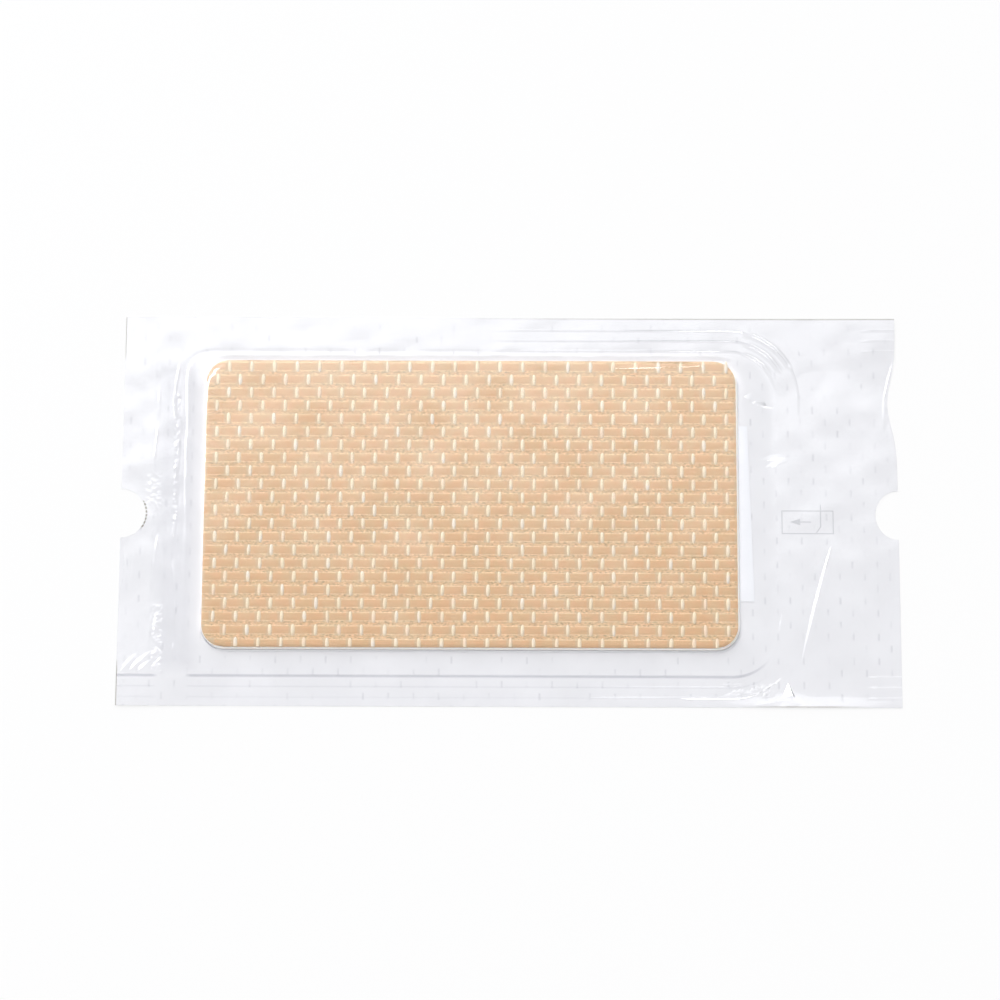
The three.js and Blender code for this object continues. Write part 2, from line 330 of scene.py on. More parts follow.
def node(tree, kind, settings=None, **inputs):
    """A node of that kind, with its settings and with its inputs set or linked by name."""
    made = tree.nodes.new("ShaderNode" + kind)
    for key, value in (settings or {}).items():
        setattr(made, key, value)
    for key, value in inputs.items():
        socket = made.inputs[int(key[1:]) if key[0] == "_" else key.replace("_", " ")]
        if isinstance(value, bpy.types.NodeSocket):
            tree.links.new(value, socket)
        else:
            socket.default_value = value
    return made


def maths(tree, operation, *values):
    """The result of a math node."""
    inputs = {f"_{i}": value for i, value in enumerate(values)}
    return node(tree, "Math", {"operation": operation}, **inputs).outputs[0]


def away(tree, value, middle):
    """How far a value lies from a middle one, on either side of it."""
    return maths(tree, "ABSOLUTE", maths(tree, "SUBTRACT", value, middle))


def graded(tree, value, start, end, first=0.0, last=1.0, kind="LINEAR"):
    """A number that goes from first to last while the value goes from start to end."""
    settings = {"interpolation_type": kind}
    return node(tree, "MapRange", settings, _0=value, _1=start, _2=end, _3=first, _4=last).outputs[0]


def place(tree):
    """The object coordinates in millimetres: as a vector, and its x and y."""
    coordinates = node(tree, "TexCoord").outputs["Object"]
    scaled = node(tree, "VectorMath", {"operation": "SCALE"}, _0=coordinates, Scale=1 / MM).outputs[0]
    split = node(tree, "SeparateXYZ", _0=scaled)
    return scaled, split.outputs["X"], split.outputs["Y"]


def ramp(tree, value, stops):
    """A colour ramp through (place, grey or colour) stops."""
    made = node(tree, "ValToRGB", _0=value)
    elements = made.color_ramp.elements
    while len(elements) < len(stops):
        elements.new(0.5)
    for element, (at, colour) in zip(elements, stops):
        element.position = at
        element.color = (*((colour,) * 3 if np.isscalar(colour) else colour), 1)
    return made.outputs["Color"]


def noise(tree, vector, scale, detail=3.0, roughness=0.5):
    """Smooth random values about 0.5, finer with a larger scale."""
    return node(tree, "TexNoise", Vector=vector, Scale=scale, Detail=detail, Roughness=roughness).outputs[0]


def stretched(tree, vector, scale):
    """Coordinates scaled differently along X, Y and Z."""
    return node(tree, "VectorMath", {"operation": "MULTIPLY"}, _0=vector, _1=scale).outputs[0]


def bumped(tree, height, distance, strength=1.0):
    """The surface's direction where a height of 1 stands for that distance in metres."""
    return node(tree, "Bump", Height=height, Distance=distance, Strength=strength).outputs[0]


def output(tree, shader):
    """Make a shader the material's surface."""
    node(tree, "OutputMaterial", Surface=shader)


def mix_colour(tree, share, first, second, blend="MIX"):
    """The first colour with a share of the second blended in."""
    made = node(tree, "Mix", {"data_type": "RGBA", "blend_type": blend}, _0=share, _6=first, _7=second)
    return made.outputs[2]


# The film's sharp folds: start, end, how far the steep flank on the right reaches, and its slope
FOLDS = [
    ((108.4, -11.0), (97.5, -52.0), 0.95, 0.26),
    ((34.0, 48.7), (69.0, 49.9), 0.6, 0.86),
    ((79.2, 38.9), (87.0, 36.2), 1.2, 0.88),
    ((82.0, 36.6), (90.2, 35.8), 0.45, 0.85),
    ((84.5, 17.2), (94.8, 18.9), 0.5, 0.85),
    ((86.0, 14.6), (95.0, 17.6), 0.5, 0.85),
    ((85.0, -47.0), (79.0, -50.5), 0.6, 0.2),
    ((91.2, -35.0), (90.2, -45.0), 0.4, 0.26),
    ((89.9, -58.1), (84.0, -64.0), 0.8, 0.2),
    ((91.4, -64.6), (81.9, -66.4), 0.8, 0.2),
    ((97.4, -65.9), (90.6, -64.6), 0.7, 0.2),
    ((130.0, 51.5), (126.7, 38.0), 0.6, 0.26),
    ((126.9, 40.0), (126.7, 27.0), 0.6, 0.26),
    ((-125.9, -11.0), (-127.4, -33.0), 0.35, 0.26),
    ((-124.4, -49.4), (-129.6, -55.6), 1.1, 0.2),
    ((-119.6, -48.6), (-126.6, -55.0), 1.0, 0.2),
    ((-119.4, -51.4), (-124.0, -55.6), 0.9, 0.2),
]
BACK = 3.0

# Where the film is crumpled: the middle of each place, its half size and how high the crumples are
CRUMPLED = [
    ((-117.8, -44.0), (1.2, 10.5), 1.1),
    ((-112.6, 18.0), (0.3, 22.0), 0.9),
    ((-120.2, 7.0), (2.2, 4.5), 0.3),
    ((80.0, -61.2), (8.0, 1.5), 0.8),
]

# A small three-sided dent at the lower right: its corners anticlockwise, its point and its depth
DENT_CORNERS = [(95.4, -63.4), (93.0, -58.8), (91.1, -63.5)]
DENT_POINT = (94.6, -62.9)
DENT_DEPTH = 0.85

# How dark the painted shade lines along the ribs are, from the cavity outwards, and how far each reaches
LINES_ABOVE = (0.12, 0.4, 0.15)
LINES_BELOW = (0.85, 0.25, 0.15)
LINE_HALVES = (0.4, 0.2, 0.2)
LINE_SOFT = 0.25

# Where the lines above grow, where all lines end at the right, and their gap at the seal band
LINES_GROW = (-20.0, 60.0)
LINES_END = (87.0, 79.0)
LINES_GAP = (4.5, 6.5)

# The pale grey upright band of the seal at the left end
BAND_MIDDLE = (-112.3, -2.0)
BAND_HALF = (6.4, 52.0)
BAND_SOFT = 2.6
BAND_SHADE = 0.24


def plane(tree, x, y, a, b, c):
    """a x + b y + c."""
    return maths(tree, "MULTIPLY_ADD", x, a, maths(tree, "MULTIPLY_ADD", y, b, c))


def box_distance(tree, x, y, centre, half):
    """How far a point lies outside a box, negative inside it."""
    dx = maths(tree, "SUBTRACT", away(tree, x, centre[0]), half[0])
    dy = maths(tree, "SUBTRACT", away(tree, y, centre[1]), half[1])
    return maths(tree, "MAXIMUM", dx, dy)


def inked(tree, distance, soft=0.06):
    """1 where a distance is below zero, with a soft edge."""
    return graded(tree, distance, -soft, soft, 1.0, 0.0)


def sharp_fold(tree, x, y, start, end, width, slope):
    """The height of a straight fold: a steep flank on its right and a long gentle one on its left,
    both narrower towards its ends."""
    length = math.dist(start, end)
    way = ((end[0] - start[0]) / length, (end[1] - start[1]) / length)
    middle = ((start[0] + end[0]) / 2, (start[1] + end[1]) / 2)
    share = plane(tree, x, y, 2 * way[0] / length, 2 * way[1] / length,
                  -2 * (middle[0] * way[0] + middle[1] * way[1]) / length)
    across = plane(tree, x, y, -way[1], way[0], middle[0] * way[1] - middle[1] * way[0])
    reach = maths(tree, "MULTIPLY_ADD", maths(tree, "MULTIPLY", share, share), -width, width)
    gentle = maths(tree, "DIVIDE", across, BACK)
    down = maths(tree, "MAXIMUM", maths(tree, "MULTIPLY", across, -1.0), gentle)
    height = maths(tree, "MAXIMUM", maths(tree, "SUBTRACT", reach, down), 0.0)
    return maths(tree, "MULTIPLY", height, slope)


def dent(tree, x, y):
    """The height of a three-sided pyramid."""
    height = 1.0
    px, py = DENT_POINT
    for (ax, ay), (bx, by) in zip(DENT_CORNERS, DENT_CORNERS[1:] + DENT_CORNERS[:1]):
        full = (bx - ax) * (py - ay) - (by - ay) * (px - ax)
        side = plane(tree, x, y, (ay - by) / full, (bx - ax) / full, (ax * by - ay * bx) / full)
        height = maths(tree, "MINIMUM", side, height)
    return maths(tree, "MULTIPLY", maths(tree, "MAXIMUM", height, 0.0), DENT_DEPTH)


def crumple(tree, vector, x, y):
    """The height of the small crumples at a few places, above and below the smooth film."""
    near = 0.0
    for centre, half, height in CRUMPLED:
        inside = inked(tree, box_distance(tree, x, y, centre, half), 0.8)
        near = maths(tree, "MULTIPLY_ADD", inside, height, near)
    return maths(tree, "MULTIPLY", near, maths(tree, "SUBTRACT", noise(tree, vector, 0.5, 1.5), 0.5))


def round_distance(tree, x, y, centre, half, corner):
    """How far a point lies outside a rounded box; inside it the result is below zero too."""
    dx = maths(tree, "SUBTRACT", away(tree, x, centre[0]), half[0] - corner)
    dy = maths(tree, "SUBTRACT", away(tree, y, centre[1]), half[1] - corner)
    apart = node(tree, "CombineXYZ", _0=maths(tree, "MAXIMUM", dx, 0.0), _1=maths(tree, "MAXIMUM", dy, 0.0))
    far = node(tree, "VectorMath", {"operation": "LENGTH"}, _0=apart.outputs[0]).outputs["Value"]
    return maths(tree, "SUBTRACT", far, corner)


def rib_shade(tree, x, y):
    """Painted shade that greys the film along its ribs, most along the lower inner one, plus the grey of the
    seal band at the left end.
    """
    centre = ((SEAL["left"] + SEAL["right"]) / 2, (SEAL["low"] + SEAL["high"]) / 2)
    half = ((SEAL["right"] - SEAL["left"]) / 2, (SEAL["high"] - SEAL["low"]) / 2)
    far = round_distance(tree, x, y, centre, half, CAVITY_CORNER_RIGHT)
    total = 0.0
    for offset, above, below, reach in zip(RIB_OFFSETS, LINES_ABOVE, LINES_BELOW, LINE_HALVES):
        line = inked(tree, maths(tree, "SUBTRACT", away(tree, far, offset), reach), LINE_SOFT)
        weight = graded(tree, y, -1.0, 1.0, below, above)
        total = maths(tree, "MULTIPLY_ADD", line, weight, total)
    upper = graded(tree, x, *LINES_GROW)
    grown = maths(tree, "MAXIMUM", upper, inked(tree, y, 1.0))
    ending = graded(tree, x, *LINES_END)
    unbroken = graded(tree, away(tree, x, BAND_X[1]), *LINES_GAP)
    ribs = maths(tree, "MULTIPLY", maths(tree, "MULTIPLY", total, grown),
                 maths(tree, "MULTIPLY", ending, unbroken))
    band = inked(tree, box_distance(tree, x, y, BAND_MIDDLE, BAND_HALF), BAND_SOFT)
    return maths(tree, "MULTIPLY_ADD", band, BAND_SHADE, ribs)


def film_material():
    """Clear glossy film: it mirrors and dims more where the camera sees it at a slant, and carries painted
    shade along its ribs.
    """
    made, tree = new_material("clear_film")
    vector, x, y = place(tree)
    seen = node(tree, "LightPath").outputs["Is Camera Ray"]
    height = maths(tree, "MULTIPLY_ADD", noise(tree, vector, 0.3, 2), 0.02, dent(tree, x, y))
    for start, end, width, slope in FOLDS:
        height = maths(tree, "ADD", height, sharp_fold(tree, x, y, start, end, width, slope))
    normal = bumped(tree, maths(tree, "ADD", height, crumple(tree, vector, x, y)), MM)
    mirror = node(tree, "Fresnel", IOR=1.62, Normal=normal).outputs[0]
    front = maths(tree, "SUBTRACT", 1.0, node(tree, "NewGeometry").outputs["Backfacing"])
    slant = node(tree, "LayerWeight", Blend=0.5, Normal=normal).outputs["Facing"]
    tint = ramp(tree, slant, [(0.3, 1.0), (0.4, 0.94), (0.55, 0.76), (1.0, 0.6)])
    # Painted shade greys the film along its ribs; the left seal band is greyed here too
    rib_shaded = mix_colour(tree, rib_shade(tree, x, y), tint, (0.83, 0.83, 0.85, 1))
    clear = node(tree, "BsdfTransparent", Color=rib_shaded).outputs[0]
    gloss = node(tree, "BsdfAnisotropic", Color=(1, 1, 1, 1), Roughness=0.12, Normal=normal).outputs[0]
    film = node(tree, "MixShader", _0=maths(tree, "MULTIPLY", mirror, front), _1=clear, _2=gloss).outputs[0]
    unseen = node(tree, "BsdfTransparent", Color=(1, 1, 1, 1)).outputs[0]
    output(tree, node(tree, "MixShader", _0=seen, _1=unseen, _2=film).outputs[0])
    return made


DASH_PITCH = (4.2, 8.2)
DASH_SIZE = (0.34, 1.2)
DASH_AT = (111.0, -22.6)

# The peel sign: its frame, the half width of its lines, the line where the web is turned back with
# its slanted foot, and the arrow's shaft and head
SIGN_LEFT, SIGN_RIGHT, SIGN_LOW, SIGN_HIGH = 91.8, 109.0, -7.8, 0.0
SIGN_LINE = 0.17
TURN_LINE = (104.8, -1.7)
TURN_HALF = 3.9
FOOT_SLOPE, FOOT_START = 0.7, 108.6
FOOT_MIDDLE, FOOT_HALF = (103.95, -6.6), (0.95, 1.1)
SHAFT_MIDDLE = (99.4, -3.8)
SHAFT_HALF = 2.2
HEAD_TIP, HEAD_END = 94.4, 97.9
HEAD_SLOPE = 0.32


def dashes(tree, x, y):
    """1 on the paper's faint upright dashes, which stand in columns shifted by half a step."""
    step_x = maths(tree, "DIVIDE", maths(tree, "SUBTRACT", x, DASH_AT[0]), DASH_PITCH[0])
    column = maths(tree, "ROUND", step_x)
    off_x = maths(tree, "MULTIPLY", maths(tree, "SUBTRACT", step_x, column), DASH_PITCH[0])
    shift = maths(tree, "MULTIPLY", column, 0.5)
    step_y = maths(tree, "DIVIDE", maths(tree, "SUBTRACT", y, DASH_AT[1]), DASH_PITCH[1])
    shifted = maths(tree, "ADD", step_y, shift)
    row = maths(tree, "ROUND", shifted)
    off_y = maths(tree, "MULTIPLY", maths(tree, "SUBTRACT", shifted, row), DASH_PITCH[1])
    far = box_distance(tree, off_x, off_y, (0, 0), DASH_SIZE)
    return inked(tree, far, 0.12)


def peel_sign(tree, x, y):
    """1 on the lines of a plain peel sign: a sheet, the web that is turned back and an arrow."""
    middle = ((SIGN_LEFT + SIGN_RIGHT) / 2, (SIGN_LOW + SIGN_HIGH) / 2)
    half = ((SIGN_RIGHT - SIGN_LEFT) / 2, (SIGN_HIGH - SIGN_LOW) / 2)
    frame_line = maths(tree, "ABSOLUTE", box_distance(tree, x, y, middle, half))
    sheet = maths(tree, "SUBTRACT", frame_line, SIGN_LINE)
    turned = box_distance(tree, x, y, TURN_LINE, (SIGN_LINE, TURN_HALF))
    foot = maths(tree, "ABSOLUTE", plane(tree, x, y, -1.0, FOOT_SLOPE, FOOT_START))
    near = box_distance(tree, x, y, FOOT_MIDDLE, FOOT_HALF)
    slanted = maths(tree, "MAXIMUM", maths(tree, "SUBTRACT", foot, SIGN_LINE * 1.3), near)
    shaft = box_distance(tree, x, y, SHAFT_MIDDLE, (SHAFT_HALF, SIGN_LINE))
    widening = maths(tree, "MULTIPLY", maths(tree, "SUBTRACT", x, HEAD_TIP), HEAD_SLOPE)
    beside = maths(tree, "SUBTRACT", away(tree, y, SHAFT_MIDDLE[1]), widening)
    head = maths(tree, "MAXIMUM", beside, maths(tree, "SUBTRACT", x, HEAD_END))
    total = 0.0
    for part in (sheet, turned, slanted, shaft, head):
        total = maths(tree, "MAXIMUM", inked(tree, part), total)
    return total


# The dark lines along the pouch's edges, mostly painted shade: their widths, how dark each gets and where it
# fades in
CUT_TOP, CUT_FOOT, CUT_LEFT, CUT_NOTCH = 0.4, 0.5, 0.3, 0.5
TOP_DARK, FOOT_DARK, LEFT_DARK = 0.6, 0.5, 0.7
FOOT_CUT_MIDDLE, FOOT_CUT_FADE = 99.0, (22.0, 8.0)
LEFT_CUT_FADE = (51.0, 54.0)
MARKS_PER_LENGTH, MARK_HALF = 0.8, 0.33
MARKS_MIDDLE, MARKS_REACH = -0.5, 4.8


def dark_edge_lines(tree, x, y):
    """Up to 1 where thin dark lines are painted along the pouch's edges: painted shade along the top, a
    painted shadow low on the right where the edge curls up, dark lines at both ends of the left edge and
    short marks of painted shade round the left notch."""
    grow = graded(tree, x, *LINES_GROW, last=TOP_DARK)
    top = maths(tree, "MULTIPLY", inked(tree, maths(tree, "SUBTRACT", POUCH_Y - CUT_TOP, y)), grow)
    near = graded(tree, away(tree, x, FOOT_CUT_MIDDLE), *FOOT_CUT_FADE, last=FOOT_DARK)
    foot = maths(tree, "MULTIPLY", inked(tree, maths(tree, "SUBTRACT", y, CUT_FOOT - POUCH_Y)), near)
    high = graded(tree, maths(tree, "ABSOLUTE", y), *LEFT_CUT_FADE, last=LEFT_DARK)
    left = maths(tree, "MULTIPLY", inked(tree, maths(tree, "SUBTRACT", x, CUT_LEFT - POUCH_X)), high)
    ends = maths(tree, "MAXIMUM", left, notch_shade_marks(tree, x, y))
    return maths(tree, "MAXIMUM", ends, maths(tree, "MAXIMUM", top, foot))


def notch_shade_marks(tree, x, y):
    """Up to 1 on the short marks of painted shade along the left notch's cut edge, where film and paper
    part.
    """
    across = maths(tree, "ADD", x, POUCH_X)
    up = maths(tree, "SUBTRACT", y, NOTCH_Y)
    square = maths(tree, "MULTIPLY_ADD", across, across, maths(tree, "MULTIPLY", up, up))
    near = maths(tree, "SUBTRACT", maths(tree, "SQRT", square), NOTCH_RADIUS + CUT_NOTCH)
    step = maths(tree, "FRACT", maths(tree, "MULTIPLY_ADD", up, MARKS_PER_LENGTH, 20.0))
    gaps = maths(tree, "SUBTRACT", away(tree, step, 0.5), MARK_HALF)
    ends = maths(tree, "SUBTRACT", away(tree, up, MARKS_MIDDLE), MARKS_REACH)
    marked = maths(tree, "MAXIMUM", near, maths(tree, "MAXIMUM", gaps, ends))
    left = maths(tree, "LESS_THAN", x, 0.0)
    return maths(tree, "MULTIPLY", inked(tree, marked), left)


# The painted contact shadow's half width and soft edge, and where it fades in at its lower and right
# stretches
CONTACT_HALF, CONTACT_SOFT = 0.4, 0.12
CONTACT_BELOW = (-38.0, -47.0)
CONTACT_RIGHT, CONTACT_RIGHT_TOP, CONTACT_RIGHT_DARK = (68.0, 76.0), (46.0, 40.0), 0.5


def contact_shade(tree, x, y):
    """Up to 1 in the painted contact shadow along the dressing's lower and right edges, where they meet the
    pouch.
    """
    centre = (RIM_LOW + RIM_HIGH) / 2
    half = (RIM_HIGH - RIM_LOW) / 2
    far = round_distance(tree, x, y, centre, half, SHEET_CORNER)
    line = inked(tree, maths(tree, "SUBTRACT", maths(tree, "ABSOLUTE", far), CONTACT_HALF), CONTACT_SOFT)
    below = graded(tree, y, *CONTACT_BELOW)
    right = maths(tree, "MULTIPLY", graded(tree, x, *CONTACT_RIGHT, last=CONTACT_RIGHT_DARK),
                  graded(tree, y, *CONTACT_RIGHT_TOP))
    return maths(tree, "MULTIPLY", line, maths(tree, "MAXIMUM", below, right))


def paper_material():
    """White uncoated paper with a faint grain, pale grey dashes and a small peel sign, with painted shade
    along its edges and a painted contact shadow beside the dressing.
    """
    made, tree = new_material("paper_web")
    vector, x, y = place(tree)
    cloud = noise(tree, vector, 0.06, 4)
    fibre = noise(tree, stretched(tree, vector, (1.6, 4.0, 1.0)), 1.0, 5)
    base = ramp(tree, cloud, [(0.35, (0.815, 0.815, 0.84)), (0.65, (0.855, 0.855, 0.88))])
    wear = ramp(tree, noise(tree, vector, 0.14, 2), [(0.42, 0.03), (0.62, 0.4)])
    ink = maths(tree, "MULTIPLY", dashes(tree, x, y), wear)
    dashed = mix_colour(tree, ink, base, (0.56, 0.56, 0.60, 1))
    sign = maths(tree, "MULTIPLY", peel_sign(tree, x, y), 0.5)
    signed = mix_colour(tree, sign, dashed, (0.40, 0.41, 0.44, 1))
    # Painted shade darkens the paper along its edges
    edged = mix_colour(tree, dark_edge_lines(tree, x, y), signed, (0.30, 0.27, 0.22, 1))
    # Painted contact shadow beside the dressing's lower and right edges
    marked = mix_colour(tree, contact_shade(tree, x, y), edged, (0.36, 0.35, 0.42, 1))
    shader = node(tree, "BsdfPrincipled", Base_Color=marked, Roughness=0.75,
                  Normal=bumped(tree, fibre, 0.00002))
    shader.inputs["Specular IOR Level"].default_value = 0.25
    output(tree, shader.outputs[0])
    return made


SHADE_TURN = 0.5 + 0.35 / STITCH_PITCH


def cloth_material():
    """Tan tapes with fine threads along them, between paler threads with small dark specks, and painted
    shade beside each stitch.
    """
    made, tree = new_material("woven_cloth")
    vector, x, y = place(tree)
    rise = maths(tree, "DIVIDE", maths(tree, "SUBTRACT", y, WEAVE_MIDDLE), TAPE_PITCH)
    step = maths(tree, "ADD", rise, 100)
    across = maths(tree, "MULTIPLY", away(tree, maths(tree, "FRACT", step), 0.5), 2)
    edge = 2 * PANEL_HALF / TAPE_PITCH
    tan, light = (0.723, 0.466, 0.270), (0.875, 0.645, 0.412)
    band, deep = (0.767, 0.530, 0.323), (0.708, 0.471, 0.280)
    rows = ramp(tree, across, [
        (edge - 0.08, tan),
        (edge + 0.02, light),
        (edge + 0.07, light),
        (edge + 0.14, band),
        (0.93, band),
        (1.0, deep),
    ])
    threads = noise(tree, stretched(tree, vector, (0.25, 3.2, 1.0)), 1.0, 4, 0.6)
    shade = ramp(tree, threads, [(0.3, 0.91), (0.7, 1.06)])
    patch = ramp(tree, noise(tree, vector, 0.07, 3), [(0.35, (0.98, 0.95, 0.91)), (0.65, (1.0, 1.01, 1.03))])
    hue = ramp(tree, noise(tree, vector, 0.28, 2), [(0.35, (1.02, 0.975, 0.96)), (0.65, (0.98, 1.01, 0.99))])
    between = graded(tree, across, edge - 0.05, edge + 0.1)
    grain = noise(tree, stretched(tree, vector, (1.1, 2.4, 1.0)), 1.0, 2)
    specks = ramp(tree, grain, [(0.36, 0.66), (0.45, 1.0), (0.58, 1.0), (0.66, 1.2)])
    speckled = mix_colour(tree, between, (1, 1, 1, 1), specks)
    coloured = rows
    for layer in (shade, patch, hue, speckled):
        coloured = mix_colour(tree, 1.0, coloured, layer, "MULTIPLY")
    # Painted shade in the hollows beside the stitches
    stitch_hollow_shade = maths(tree, "MULTIPLY", stitch_shade(tree, x, step, across), 0.42)
    shaded = mix_colour(tree, stitch_hollow_shade, coloured, (0.60, 0.50, 0.36, 1))
    shader = node(tree, "BsdfPrincipled", Base_Color=shaded, Roughness=0.8,
                  Normal=bumped(tree, threads, 0.00006, 0.6))
    shader.inputs["Sheen Weight"].default_value = 0.1
    output(tree, shader.outputs[0])
    return made


def stitch_shade(tree, x, step, across):
    """1 in the painted shade in the hollow beside each stitch, mostly on its left, in rows shifted like the
    stitches.
    """
    row = maths(tree, "FLOOR", step)
    shift = maths(tree, "MULTIPLY", maths(tree, "FLOORED_MODULO", row, 2), 0.5)
    start = stitch_phase(1) - 30 * STITCH_PITCH
    pitches = maths(tree, "DIVIDE", maths(tree, "SUBTRACT", x, start), STITCH_PITCH)
    turn = maths(tree, "FRACT", maths(tree, "ADD", pitches, maths(tree, "ADD", shift, SHADE_TURN)))
    near = graded(tree, away(tree, turn, 0.5), 0.19, 0.09, kind="SMOOTHSTEP")
    inside = graded(tree, across, 0.95, 0.7, kind="SMOOTHSTEP")
    return maths(tree, "MULTIPLY", near, inside)


def stitch_material():
    """Cream thread, each stitch a little warmer or cooler, with fine strands along it."""
    made, tree = new_material("stitch_thread")
    vector, _, _ = place(tree)
    tone = ramp(tree, noise(tree, vector, 0.22, 1), [
        (0.32, (0.90, 0.70, 0.52)),
        (0.45, (0.89, 0.75, 0.53)),
        (0.58, (0.90, 0.76, 0.58)),
        (0.7, (0.88, 0.78, 0.66)),
    ])
    strands = noise(tree, stretched(tree, vector, (4.5, 0.5, 1.0)), 1.0, 2)
    shader = node(tree, "BsdfPrincipled", Base_Color=tone, Roughness=0.6,
                  Normal=bumped(tree, strands, 0.0001, 0.6))
    shader.inputs["Sheen Weight"].default_value = 0.2
    output(tree, shader.outputs[0])
    return made


def silicone_material():
    """Soft pale silicone that light enters a little way, with a faint painted glow that lightens its shaded
    rim.
    """
    made, tree = new_material("silicone")
    vector, _, _ = place(tree)
    tone = ramp(tree, noise(tree, vector, 0.08, 2), [(0.3, (0.94, 0.89, 0.82)), (0.7, (0.96, 0.92, 0.87))])
    shader = node(tree, "BsdfPrincipled", Base_Color=tone, Roughness=0.35,
                  Normal=bumped(tree, noise(tree, vector, 1.2), 0.00003))
    shader.inputs["Subsurface Weight"].default_value = 0.4
    shader.inputs["Subsurface Radius"].default_value = (1.0, 0.7, 0.5)
    shader.inputs["Subsurface Scale"].default_value = 0.0015
    # A faint glow: painted light that keeps the rim's shaded sides pale
    shader.inputs["Emission Color"].default_value = (1.0, 0.96, 0.92, 1)
    shader.inputs["Emission Strength"].default_value = 0.22
    output(tree, shader.outputs[0])
    return made


def liner_material():
    """White satin plastic."""
    made, tree = new_material("liner")
    vector, _, _ = place(tree)
    tone = ramp(tree, noise(tree, vector, 0.1, 2), [(0.3, (0.89, 0.90, 0.94)), (0.7, (0.91, 0.92, 0.96))])
    shader = node(tree, "BsdfPrincipled", Base_Color=tone, Roughness=0.4,
                  Normal=bumped(tree, noise(tree, vector, 0.5), 0.00005))
    output(tree, shader.outputs[0])
    return made


# Pieces

def make_paper():
    """The paper web, its notched ends and its slightly curled edge."""
    inner = POUCH_X - END_ZONE
    x_lines = lines((-POUCH_X, -inner, 1.0), (-inner, inner, 4.0), (inner, POUCH_X, 1.0))
    y_lines = lines((-POUCH_Y, -NOTCH_RADIUS + NOTCH_Y, 2.0), (NOTCH_RADIUS + NOTCH_Y, POUCH_Y, 2.0))
    turn = np.radians(np.arange(-90, 91, 7.5))
    y_lines = np.unique(np.round(np.concatenate([y_lines, NOTCH_Y + NOTCH_RADIUS * np.sin(turn)]), 4))
    x, y = np.meshgrid(x_lines, y_lines)
    x = between_ends(x, y, notch_depth, paper_right_cut)
    lift = web_lift(x, y)
    return web("paper_web", x, y, lift, lift + PAPER_TOP, paper_material())


def drawn_in(y, depth):
    """How far the right edge is drawn in above the notch, where both webs curl."""
    return depth * np.exp(-(((y - 37) / 11) ** 2))


def film_right_cut(y):
    """The film's right edge: the notch, and a draw above it."""
    return np.maximum(right_notch(y), drawn_in(y, 3.6))


def paper_right_cut(y):
    """The paper's right edge, which is drawn in a little less than the film's."""
    return np.maximum(right_notch(y), drawn_in(y, 2.9))


def film_left_cut(y):
    """The film's left edge: the notch, and a slight draw below it."""
    return np.maximum(notch_depth(y), 1.6 * np.exp(-(((y + 19) / 9) ** 2)))


def rib_lines(edge, sign):
    """Grid lines across the seal on one side: close together over each rib."""
    spans = [(edge, edge + RIB_OFFSETS[0] - 0.75, 0.4)]
    for offset in RIB_OFFSETS:
        spans.append((edge + offset - 0.75, edge + offset + 0.75, 0.15))
    return lines(*spans) if sign > 0 else 2 * edge - lines(*spans)[::-1]


def make_film():
    """The clear film web over a grid that is fine across its ribs and follows its right corners."""
    centre_x = CAVITY["right"] - CAVITY_CORNER_RIGHT
    x_lines = np.concatenate([
        lines((-POUCH_X, BAND_X[0] - 1.5, 0.9), (BAND_X[0] - 1.5, BAND_X[0] + 1.5, 0.3)),
        lines((BAND_X[0] + 1.5, BAND_X[1] - 2.1, 0.8), (BAND_X[1] - 2.1, BAND_X[1] + 2.1, 0.2)),
        lines((BAND_X[1] + 2.1, CAVITY["left"] + 8, 1.0), (CAVITY["left"] + 8, centre_x, 2.2)),
        lines((centre_x, CAVITY["right"], 1.0)),
        rib_lines(CAVITY["right"], 1),
        lines((CAVITY["right"] + SEAL_SPAN, 110, 0.32), (110, POUCH_X, 0.9)),
    ])
    turn = np.radians(np.arange(-90, 91, 9))
    y_lines = np.concatenate([
        lines((-POUCH_Y, CAVITY["low"] - SEAL_SPAN, 0.5)),
        rib_lines(CAVITY["low"], -1),
        lines((CAVITY["low"], CAVITY["low"] + 8, 0.6), (CAVITY["low"] + 8, CAVITY["high"] - 6, 1.4)),
        lines((CAVITY["high"] - 6, CAVITY["high"], 0.3)),
        rib_lines(CAVITY["high"], 1),
        lines((CAVITY["high"] + SEAL_SPAN, POUCH_Y, 0.5)),
        NOTCH_Y + NOTCH_RADIUS * np.sin(turn),
    ])
    x_lines, y_lines = thinned(x_lines), thinned(y_lines)
    x, y = np.meshgrid(x_lines, y_lines)
    x, y = round_corners(x, y)
    x = between_ends(x, y, film_left_cut, film_right_cut)
    bottom = PAPER_TOP + web_lift(x, y) + film_height(x, y)
    return web("film_web", x, y, bottom, bottom + FILM, film_material())


def thinned(values, least=0.12):
    """Grid lines in order, without those that lie too near the one before, the last one kept."""
    values = np.sort(values)
    keep = [values[0]]
    for value in values[1:]:
        if value - keep[-1] >= least:
            keep.append(value)
    keep[-1] = values[-1]
    return np.array(keep)


def rounded_ring(low, high, corner, inset, steps=10):
    """The points of a rounded rectangle, anticlockwise, drawn in by inset."""
    points = []
    radius = corner - inset
    left, right = low[0] + corner, high[0] - corner
    bottom, top = low[1] + corner, high[1] - corner
    for x, y, start in ((right, bottom, -90), (right, top, 0), (left, top, 90), (left, bottom, 180)):
        for k in range(steps + 1):
            turn = math.radians(start + 90 * k / steps)
            points.append((x + radius * math.cos(turn), y + radius * math.sin(turn)))
    return points


